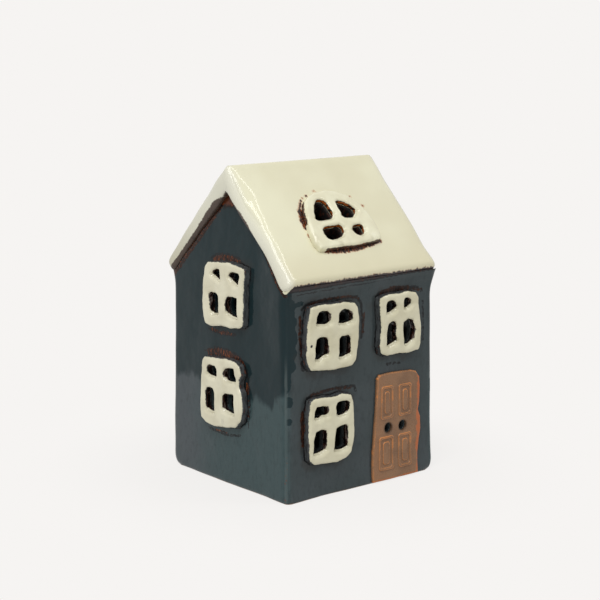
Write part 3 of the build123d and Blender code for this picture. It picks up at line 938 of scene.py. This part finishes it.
# Pale worn edge and painted highlight along the corner post.
slate = glaze.blend(post * (0.35 + runs), slate, POST_PALE_AND_HIGHLIGHT)
specks = z.below(*POST_RUST_TOP) * ragged.between(0.06, 0.16)
slate = glaze.blend(post * specks * 0.5, slate, RUST)
drip = (glaze.attribute("drip_gap") + ragged * 1.4).below(-0.15, 0.25)
slate = glaze.blend(drip * (1 - on_gable), slate, TEAL)
glaze.report()

# %% [markdown]
# Round each pad there are a broad faint stain that is also painted shade, a thin dark rim along the pad's
# foot, and the drawn strokes.

# %% Stain, rim and strokes round the pads
STAIN_AND_SHADE = shade("35312d")
gap = glaze.attribute("pad_gap")
# Partly a brown stain and partly painted shade round the pad.
stain_and_shade = (gap + wander * 9).below(0.3, 3.6)
slate = glaze.blend(stain_and_shade * (broad * 0.8 - on_gable * 0.3).larger(0.0), slate, STAIN_AND_SHADE)
# A thin dark rim in the crease at the foot of the pad.
rim = (gap + ragged * 1.4).below(0.25, 0.6)
slate = glaze.blend(rim, slate, SHADOW)
dark = (glaze.attribute("dark_gap") + ragged * 1.8).below(-0.2, 0.25)
slate = glaze.blend(dark * 0.9, slate, SHADOW)
rust = (glaze.attribute("rust_gap") + ragged * 2.2).below(-0.2, 0.2)
slate = glaze.blend(rust, slate, broken_iron(glaze, 0.08 + on_gable * 0.42, seed=31.0, stretch=(1, 1, 2.4)))
glaze.report()

# %% [markdown]
# The gables burn to rust along the underside of the roof, more on the back half, and in a patch under the
# peak.

# %% Rust under the rakes
PATCH_TOP = 129.5
PATCH_FOOT = (7.8, 8.8)
PATCH_HEART = (6.0, 7.6)
rake = -(abs(y) * math.sin(PITCH) + (z - GABLE_PEAK) * math.cos(PITCH))
back_half = y.between(0.0, 4.0) * 2.2
under_roof = (rake + ragged * 2.2 - back_half).below(0.35, 0.7) * on_gable
slate = glaze.blend(under_roof, slate, broken_iron(glaze, 0.2, seed=41.0))
under_peak = PATCH_TOP - z + ragged * 3 + wander * 4
heart = under_peak.below(*PATCH_HEART)
patch = glaze.blend(heart, IRON, broken_iron(glaze, 1.0, seed=43.0, size=1.6))
patch = glaze.blend(heart * 0.6, patch, RUST)
slate = glaze.blend(under_peak.below(*PATCH_FOOT) * on_gable * rake.between(0.3, 0.8), slate, patch)
glaze.report()

# %% [markdown]
# Under the eave the slate ends in a fine seam, a dark line and a band of purple brown. The lines are set by
# the depth under the top of the roof slab, and slope a little along the wall. A drop of cream has run down
# onto the top of the near corner post.

# %% Lines under the eave
EAVE_DARK = shade("362f30")
EAVE_BROWN = shade("55341f")
EAVE_TILT = -0.02
SEAM = (-6.4, -6.1, -5.9, -5.6)
DARK_LINE = (-5.0, -4.7)
BROWN_LINE = (-4.5, -4.2)
SEAM_END = (5.0, 25.0)
EAVE_BAND = (-8.0, -7.0)
DROP_AT = (-43, -41, 89.2)
DROP_REACH = (34.0, 36.0)
depth = roof_depth(y, z)
comb = glaze.cloud(0.85, 3, 0.6, stretch=(1, 2.6, 2.6), seed=6.0) - 0.5
level = depth + comb * 1.8 + wander + (x + HALF_WIDTH) * EAVE_TILT
at_eave = (1 - on_gable) * depth.between(*EAVE_BAND)
seam = level.between(*SEAM[:2]) * level.below(*SEAM[2:]) * at_eave
seam = seam * (wander + 0.1).between(0.0, 0.15) * x.below(*SEAM_END)
slate = glaze.blend(seam * 0.8, slate, SHADOW)
slate = glaze.blend(level.between(*DARK_LINE) * at_eave, slate, SHADOW)
brown = glaze.blend(comb.between(0.1, 0.2), EAVE_DARK, EAVE_BROWN)
slate = glaze.blend(level.between(*BROWN_LINE) * at_eave, slate, brown)
drop_x, drop_y, drop_z = DROP_AT
drop = z - drop_z - (x - drop_x).larger(0.0) * 1.5 - (y - drop_y).larger(0.0) * 1.1 + ragged
drop = drop.between(-0.2, 0.2) * (-x).between(*DROP_REACH) * (-y).between(*DROP_REACH)
slate = glaze.blend(drop, slate, CREAM)
glaze.report()

# %% [markdown]
# The foot is wiped clean before the firing, so bare clay shows as a thin line and on the underside. The
# inside of the house is painted near black, as painted shade. The bump is a slow wave for the wandering
# reflections, with a little grain where the iron breaks through.

# %% Foot, inside and gloss of the walls
foot = (z + ragged * 0.9).below(0.15, 0.45)
slate = glaze.blend(foot, slate, CLAY)
# Painted shade: the inside of the walls is near black.
inside = out_side.larger(out_front).below(-2.6, -1.6)
slate = glaze.blend(inside, slate, PAINTED_SHADE)
under = z.below(0.02, 0.12)
slate = glaze.blend(under, slate, CLAY)
glaze.set("Base Color", slate)
glaze.set("Roughness", 0.08 + rust * 0.15 + foot.larger(under) * 0.6 + inside * 0.3)
waves = glaze.cloud(9, 2, 0.5, seed=51.0) + mottle * 0.03 + (rust + dark) * ragged * 0.2 - drip * 0.1
glaze.bump(waves, 0.4)
wall_glaze = glaze
glaze.report()

# %% [markdown]
# ## Roof glaze
# The cream glaze covers the slopes and the rolled edges. It is a little deeper toward the eave, greyer on
# the edges of the verges and browner low on the back rake. Round the arched window it breaks to brown, with
# an amber rim.

# %% Cream and the halo of the arched window
CREAM_LOW = shade("d9d2b2")
CREAM_EDGE = shade("e0dfd4")
CREAM_BACK = shade("b3ab8f")
LOW_SLOPE = (40.0, 64.0)
VERGE_EDGE = 42.6
LOW_BACK = (14.0, 42.0)
LEFT_FACE = (38.0, 42.5)
glaze = Finish("roof_glaze", specular_ior_level=0.34)
x, y, z = glaze.x, glaze.y, glaze.z
depth, down = roof_depth(y, z), roof_down(y, z)
comb = glaze.cloud(0.85, 3, 0.6, stretch=(1, 2.6, 2.6), seed=6.0) - 0.5
wander = glaze.cloud(4, 2, 0.5, seed=12.0) - 0.5
tint = glaze.cloud(34, 2, 0.5, seed=2.0) + x * 0.003
cream = glaze.blend(tint.between(0.3, 0.75), CREAM, CREAM_DEEP)
cream = glaze.blend(down.between(*LOW_SLOPE) * 0.7, cream, CREAM_LOW)
rust_gap = glaze.attribute("rust_gap") + wander * 0.8
halo = (rust_gap + comb * 3.2).below(-0.2, 0.15)
rim = (rust_gap + comb * 2.2).below(0.1, 0.7)
cream = glaze.blend(rim * 0.5, cream, AMBER)
cream = glaze.blend(halo, cream, broken_iron(glaze, 0.5, seed=14.0, stretch=(1, 2, 2)))
cream = glaze.blend((VERGE_EDGE - abs(x)).below(0.0, 4.0) * 0.6, cream, CREAM_EDGE)
cream = glaze.blend(y.between(*LOW_BACK) * (-x).between(*LEFT_FACE) * 0.5, cream, CREAM_BACK)
glaze.report()

# %% [markdown]
# At the eaves the cream stops in a ragged fringe with amber sparks, then come a dark line and the slate of
# the walls. Each is set by the depth below the top of the slab, with the same comb of noise, so that the
# lines nest.

# %% Fringe at the eaves
FRINGE = shade("342b2c")
FRINGE_LEVEL = (-1.8, -1.6)
SPARK_LEVEL = (-1.8, -1.2)
LINE_LEVEL = (-3.7, -3.4)
SLATE_LEVEL = (-4.2, -3.9)
CORNER_EDGE = 43.4
CORNER_DROP = 4.6
LINE_BELOW = 1
LINE_TILT = 0.0143
fine = glaze.cloud(0.7, 2, 0.6, seed=4.0) - 0.5
eave = down.between(SLOPE_LENGTH - 4.5, SLOPE_LENGTH - 3.5)
corner = (CORNER_EDGE - abs(x)).below(0.0, 4.0)
level = depth + comb * 3.4 + wander * 0.5 + corner * CORNER_DROP
fringe = level.below(*FRINGE_LEVEL) * eave
cream = glaze.blend(level.below(*SPARK_LEVEL) * eave * 0.4, cream, AMBER)
cream = glaze.blend(fringe, cream, glaze.blend(fine.between(0.1, 0.2), FRINGE, RUST))
lower_level = level + (LINE_BELOW - (x + HALF_WIDTH) * LINE_TILT) + wander * 0.6
cream = glaze.blend(lower_level.below(*LINE_LEVEL) * eave, cream, SHADOW)
slate = lower_level.below(*SLATE_LEVEL) * eave
cream = glaze.blend(slate, cream, SLATE)
glaze.report()

# %% [markdown]
# Under the rakes the cream stops at a dark plum band, which starts lower where the slab sags under the peak
# and higher along the back rake. The underside over the room and the walls of the panes are painted shade,
# near black mottled with dark brown.

# %% Plum band, underside and gloss of the roof
PLUM = shade("52443b")
PAINTED_SHADE_BROWN = shade("4a2618")
PLUM_LEVEL = (-6.2, -5.8)
SAG_NEAR_PEAK = (1.0, 12.0)
SAG_AT_END = (30.0, 36.0)
RISE_BEHIND = (2.0, 9.0)
INNER_HALF = 38
sagged = abs(y).below(*SAG_NEAR_PEAK) * (-x).between(*SAG_AT_END) * 1.6 - y.between(*RISE_BEHIND) * 1.1
soffit = (depth + fine + wander * 0.8 + sagged).below(*PLUM_LEVEL)
plum = glaze.blend(glaze.cloud(1.1, 3, 0.6, seed=18.0).between(0.55, 0.7) * 0.6, PLUM, IRON)
cream = glaze.blend(soffit * (1 - slate), cream, plum)
# Painted shade on the underside over the room and in the panes.
under = depth.below(-6.3, -6.1) * (INNER_HALF - abs(x)).between(0.0, 1.0)
dark = glaze.attribute("pane").larger(under)
cream = glaze.blend(dark, cream, glaze.blend(comb.between(0.0, 0.15), PAINTED_SHADE, PAINTED_SHADE_BROWN))
glaze.set("Base Color", cream)
worn = halo.larger(soffit.larger(fringe))
glaze.set("Roughness", 0.1 + worn * 0.15 + dark * 0.5)
glaze.bump(glaze.cloud(9, 1, 0.5, seed=20.0) * 0.5 - worn * 0.3 + worn * fine * 0.3, 0.3)
roof_glaze = glaze
glaze.report()

# %% [markdown]
# ## Window glaze
# The pads wear one cream on their faces, painted a little darker on the front pads as shade and lighter on
# the gable pads as light. It breaks at the shoulder: the sides of a pad are slate with a little rust, and
# the insides of its panes are painted near black as shade, with rusty streaks where the glaze ran and grey
# streaks that are a painted reflection. How far a point stands out from its wall tells the face from the
# side. The three kinds of pad differ only in that measure, in their creams and in one detail each, so one
# function makes what they share and another finishes it.

# %% Window glaze
PAD_SIDE = shade("474a4b")
PANE_BROWN = shade("3a2018")
# Grey streaks in the panes are a painted reflection.
PANE_REFLECTION_GREY = shade("77706a")


def make_window_glaze(name, lift_of, shoulder, seed, pale, deep):
    glaze = Finish(name)
    tint = glaze.cloud(9, 2, 0.5, seed=seed)
    chips = glaze.cloud(0.9, 3, 0.65, seed=seed + 2) - 0.5
    wander = glaze.cloud(3.5, 2, 0.5, seed=seed + 4) - 0.5
    streaks = glaze.cloud(1.3, 3, 0.6, stretch=(1, 1, 3.5), seed=seed + 6)
    pane = glaze.attribute("pane")
    sill = glaze.attribute("sill")
    cream = glaze.blend(tint.between(0.35, 0.7), pale, deep)
    edge = lift_of(glaze) + chips * 0.9 + wander * 0.9 - pane * 0.2 + sill * 1.4
    bare = edge.below(shoulder - 0.12, shoulder + 0.12)
    side = glaze.blend(streaks.between(0.45, 0.6) * 0.6, PAD_SIDE, SHADOW)
    side = glaze.blend((streaks.between(0.62, 0.7) + chips.between(0.16, 0.3)) * 0.6, side, RUST)
    # The pane walls are painted near black as shade, with brown streaks of glaze and grey streaks of
    # painted reflection.
    hole = glaze.blend(streaks.between(0.46, 0.58), PAINTED_SHADE, PANE_BROWN)
    hole = glaze.blend(streaks.between(0.57, 0.63) * 0.8, hole, PANE_REFLECTION_GREY)
    side = glaze.blend(pane, side, hole)
    return glaze, cream, bare, side, edge, chips


def dress_pad(glaze, cream, bare, side, chips, seed):
    glaze.set("Base Color", glaze.blend(bare, cream, side))
    glaze.set("Roughness", 0.08 + bare * 0.1)
    glaze.bump(glaze.cloud(4, 2, 0.5, seed=seed) - bare * 0.3 + bare * chips * 0.25, 0.3)
    glaze.report()
    return glaze


# %% Front windows, with a pinhole in one of them
PINHOLE = (-31.25, 66.9)
PINHOLE_SIZE = (0.5, 0.75)
PAD_SHOULDER = 2.75
# The front pads get a darker copy of the cream: painted shade.
SHADED_FRONT_CREAM = shade("dad5b9")
SHADED_FRONT_CREAM_DEEP = shade("d0caac")


def front_lift(glaze):
    return out_of_front(glaze.y, glaze.z)


glaze, cream, bare, side, edge, chips = make_window_glaze(
    "front_window_glaze", front_lift, PAD_SHOULDER, 60.0, SHADED_FRONT_CREAM, SHADED_FRONT_CREAM_DEEP)
# The pinhole is a dot of painted shade.
pinhole = glaze.distance(glaze.x - PINHOLE[0], glaze.z - PINHOLE[1]).below(*PINHOLE_SIZE)
side = glaze.blend(pinhole, side, PAINTED_SHADE)
front_glaze = dress_pad(glaze, cream, bare.larger(pinhole), side, chips, seed=68.0)

# %% Gable windows
# The gable pads get a lighter copy of the cream: painted light.
LIT_GABLE_CREAM = shade("e5e0c6")
LIT_GABLE_CREAM_DEEP = shade("dad4b9")


def gable_lift(glaze):
    return out_of_side(glaze.x, glaze.z)


glaze, cream, bare, side, edge, chips = make_window_glaze(
    "gable_window_glaze", gable_lift, PAD_SHOULDER, 70.0, LIT_GABLE_CREAM, LIT_GABLE_CREAM_DEEP)
gable_glaze = dress_pad(glaze, cream, bare, side, chips, seed=78.0)

# %% Arched window, where the cream runs over the sides and burns away in strokes
FANLIGHT_SHOULDER = 2.0
PANE_RUST = shade("4a2416")


def roof_lift(glaze):
    return roof_depth(glaze.y, glaze.z)


glaze, cream, bare, side, edge, chips = make_window_glaze(
    "fanlight_glaze", roof_lift, FANLIGHT_SHOULDER, 80.0, CREAM, CREAM_DEEP)
burnt = (glaze.attribute("rust_gap") + chips * 2.0).below(-0.2, 0.2)
pane = glaze.attribute("pane")
streak = glaze.cloud(1.5, 3, 0.6, seed=88.0)
# The pane walls are painted near black as shade, streaked with rust.
hole = glaze.blend(streak.between(0.5, 0.6), PAINTED_SHADE, PANE_RUST)
lip = edge.between(0.6, 0.8) * edge.below(1.6, 1.9)
hole = glaze.blend(lip * streak.between(0.4, 0.55), hole, AMBER)
side = glaze.blend(pane, broken_iron(glaze, 0.5, seed=86.0), hole)
fanlight_glaze = dress_pad(glaze, cream, bare * burnt.larger(pane), side, chips, seed=89.0)

# %% [markdown]
# ## Door glaze
# The door has a thin brown glaze that lets the red clay through on every raised line and along its worn
# edge. It is warmer toward its left edge. The two knob holes and their rims are darkened with painted
# shade, and no line shows there. The raised lines could be drawn as strokes, but the proud edges found
# above lie on them exactly.

# %% Brown of the door
DOOR_BROWN = shade("826249")
DOOR_WARM = shade("906d51")
DOOR_LEFT = shade("9c7252")
LEFT_PART = (7.0, 15.0)
LEFT_KNOB = (14.3, 23.9)
RIGHT_KNOB = (22.9, 23.7)
KNOB_SHADE = (2.5, 3.2)
glaze = Finish("door_glaze", specular_ior_level=0.25)
x, z = glaze.x, glaze.z
tint = glaze.cloud(9, 3, 0.55, seed=90.0)
fine = glaze.cloud(0.8, 3, 0.6, seed=92.0) - 0.5
wander = glaze.cloud(3, 3, 0.6, seed=94.0) - 0.5
brown = glaze.blend(tint.between(0.35, 0.65), DOOR_BROWN, DOOR_WARM)
brown = glaze.blend(x.below(*LEFT_PART) * 0.5, brown, DOOR_LEFT)
left_knob = glaze.distance(x - LEFT_KNOB[0], z - LEFT_KNOB[1])
right_knob = glaze.distance(x - RIGHT_KNOB[0], z - RIGHT_KNOB[1])
# Painted shade in and round the two knob holes.
knobs = left_knob.smaller(right_knob).below(*KNOB_SHADE)
brown = glaze.blend(knobs * 0.45, brown, SHADOW)
glaze.report()

# %% Worn lines, edge and foot of the door
DOOR_LINE = shade("cf8448")
DOOR_EDGE = shade("b8683f")
EDGE_START = (30.6, 31.5)
DOOR_FOOT = (1.0, 1.8)
proud = (glaze.attribute("proud") + fine * 0.05 + wander * 0.04).between(0.03, 0.07) * (1 - knobs)
worn = (x + wander * 3 + fine * 1.5 - z * 0.02).between(*EDGE_START)
brown = glaze.blend(proud * 0.9, brown, DOOR_LINE)
brown = glaze.blend(worn * 0.9, brown, DOOR_EDGE)
# Painted shade: where the door sinks into the wall it is near black.
brown = glaze.blend(front_lift(glaze).below(-0.4, 0.6), brown, PAINTED_SHADE)
foot = (z + wander * 1.5).below(*DOOR_FOOT)
brown = glaze.blend(foot * 0.7, brown, AMBER)
glaze.set("Base Color", brown)
glaze.set("Roughness", 0.28 + worn * 0.15 + fine * 0.1)
glaze.bump(glaze.cloud(5, 3, 0.5, seed=96.0) + fine * 0.12, 0.25)
door_glaze = glaze
glaze.report()

# %% [markdown]
# ## Glazes onto the skins
# Each skin gets its glaze, rides on the house, and stands for the solids that it was copied from.

# %% Glazes onto the skins
def finished(piece, finish, slot, *nodes):
    moved(piece, places(piece) / MM)
    pick(piece)
    bpy.ops.object.shade_smooth()
    piece.data.materials.clear()
    piece.data.materials.append(finish.material)
    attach(piece, "house")
    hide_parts(*nodes)
    print(piece.name, "faces", len(piece.data.polygons), "vertices", len(piece.data.vertices))


finished(walls, wall_glaze, "wall_glaze", *WALLS)
finished(roof, roof_glaze, "roof_glaze", "front_roof_slab", "back_roof_slab")
for node in FRONT_PADS:
    finished(pads[node], front_glaze, "window_glaze", node)
for node in GABLE_PADS:
    finished(pads[node], gable_glaze, "window_glaze", node)
finished(pads["roof_fanlight"], fanlight_glaze, "window_glaze", "roof_fanlight")
finished(door, door_glaze, "door_glaze", "door_panel")

# %% [markdown]
# ## Tealight
# The tealight is a bought one: a pleated cup of thin aluminium, wax that has set with a slight bloom, and a
# wick in its steel holder. The solids have its true shape, so they stay and only get their materials.

# %% Cup and wick holder
foil = Finish("cup_foil", metallic=1.0)
grain = foil.cloud(2.2, 3, 0.6, stretch=(1, 1, 3), seed=101.0)
foil.set("Base Color", foil.blend(grain, shade("b9babc"), shade("dcdddf")))
foil.set("Roughness", 0.22 + grain * 0.2)
foil.bump(grain, 0.2)

steel = Finish("holder_metal", metallic=1.0)
grain = steel.cloud(0.8, 3, 0.6, seed=109.0)
steel.set("Base Color", steel.blend(grain, shade("8f9092"), shade("b4b5b8")))
steel.set("Roughness", 0.3 + grain * 0.2)
foil.report()
steel.report()

# %% Wax and wick
wax = Finish("wax", roughness=0.35, subsurface_weight=0.25, subsurface_scale=0.003)
bloom = wax.cloud(3.5, 4, 0.6, seed=104.0)
wax.set("Base Color", wax.blend(bloom, shade("efece2"), shade("f8f6ef")))
wax.bump(bloom + wax.cloud(0.6, 2, 0.5, seed=105.0) * 0.1, 0.25)

wick = Finish("wick", roughness=0.9)
twist = wick.cloud(0.5, 2, 0.6, stretch=(1, 1, 0.4), seed=107.0)
wick.set("Base Color", wick.blend(twist, shade("d8d2c2"), shade("f0ebdd")))
wick.bump(twist, 0.6)

TEALIGHT = {"tealight_cup": foil, "tealight_wax": wax, "tealight_wick": wick, "tealight_wick_holder": steel}
for node, finish in TEALIGHT.items():
    solid = frame["nodes"][node]
    solid.data.materials.clear()
    solid.data.materials.append(finish.material)
print("tealight", ", ".join(TEALIGHT))

# %% [markdown]
# ## Floor and light
# The house stands on a pale floor that runs up into a pale backdrop. Camera rays see both at the same plain
# colour, and a part of the floor's real light is mixed in near the house, so that a soft shadow stays
# there.

# %% Floor
BACKDROP = shade("f6f4f2")
SHADOW_RING = (55.0, 130.0)
SHADOW_SHARE = 0.12
bpy.ops.object.select_all(action="DESELECT")
bpy.ops.mesh.primitive_plane_add(size=8, location=(0, 0, 0))
floor = bpy.context.object
floor.name = "floor_sheet"
paper = Finish("paper", roughness=1.0, specular_ior_level=0.0)
paper.set("Base Color", shade("eae9e7"))
camera_ray = paper.add("ShaderNodeLightPath", output="Is Camera Ray")
glossy_ray = paper.add("ShaderNodeLightPath", output="Is Glossy Ray")
near = paper.distance(paper.x, paper.y).below(*SHADOW_RING)
glow = paper.add("ShaderNodeEmission", {}, {"Color": BACKDROP, "Strength": 1.0})
plain = (camera_ray * (1 - near * SHADOW_SHARE)).larger(glossy_ray)
sockets = {0: plain, 1: Wire(paper, paper.shader.outputs[0]), 2: glow}
lit = paper.add("ShaderNodeMixShader", {}, sockets)
paper.feed(paper.tree.nodes["Material Output"].inputs["Surface"], lit)
floor.data.materials.append(paper.material)
paper.report()

# %% [markdown]
# The sky is plain white at half strength and lights the house from all sides. Rays from the camera and from
# gloss see the colour of the backdrop instead, so the picture's ground stays pale without more light on the
# house.

# %% World
SKY_STRENGTH = 0.5
world = bpy.data.worlds.new("studio")
world.use_nodes = True
bpy.context.scene.world = world
air = world.node_tree
sky = air.nodes["Background"]
sky.inputs["Color"].default_value = (1, 1, 1, 1)
sky.inputs["Strength"].default_value = SKY_STRENGTH
seen = air.nodes.new("ShaderNodeBackground")
seen.inputs["Color"].default_value = (*BACKDROP, 1)
path = air.nodes.new("ShaderNodeLightPath")
either = air.nodes.new("ShaderNodeMixShader")
shown = air.nodes.new("ShaderNodeMath")
shown.operation = "MAXIMUM"
air.links.new(path.outputs["Is Camera Ray"], shown.inputs[0])
air.links.new(path.outputs["Is Glossy Ray"], shown.inputs[1])
air.links.new(shown.outputs[0], either.inputs[0])
air.links.new(sky.outputs[0], either.inputs[1])
air.links.new(seen.outputs[0], either.inputs[2])
air.links.new(either.outputs[0], air.nodes["World Output"].inputs[0])
print("world", world.name, "sky", SKY_STRENGTH)

# %% [markdown]
# Two soft boxes light the house. A glaze mirrors its lamps, and a soft box shows in it as a broad bright
# patch, where a small lamp would leave a dot. The key stands to the left, high up, and draws the bright
# lines along the verge. The top one is long and narrow, over the right front, and lifts the roof and the
# right edge of the front.

# %% Lamps
LAMP_AWAY = 1.3
LAMP_TALL = 0.8
AIM_HEIGHT = 0.07


def lamp(name, direction, size, power):
    towards = Vector(direction).normalized()
    bpy.ops.object.select_all(action="DESELECT")
    bpy.ops.object.light_add(type="AREA", location=towards * LAMP_AWAY + Vector((0, 0, AIM_HEIGHT)))
    light = bpy.context.object
    light.name = name
    light.data.shape = "RECTANGLE"
    light.data.size = size
    light.data.size_y = LAMP_TALL
    light.data.energy = power
    light.rotation_euler = towards.to_track_quat("Z", "Y").to_euler()
    print(name, [round(value, 3) for value in light.location], power, "W")


lamp("key", (-0.463, -0.291, 0.835), size=0.5, power=8.0)
lamp("top", (0.32, -0.34, 0.88), size=0.14, power=2.0)

# %% [markdown]
# ## Close
# The finished house lies inside the box of the solids, since every moved point is kept in it. The view
# shows the colours with the standard transform.

# %% Settings
bpy.context.scene.view_settings.view_transform = "Standard"
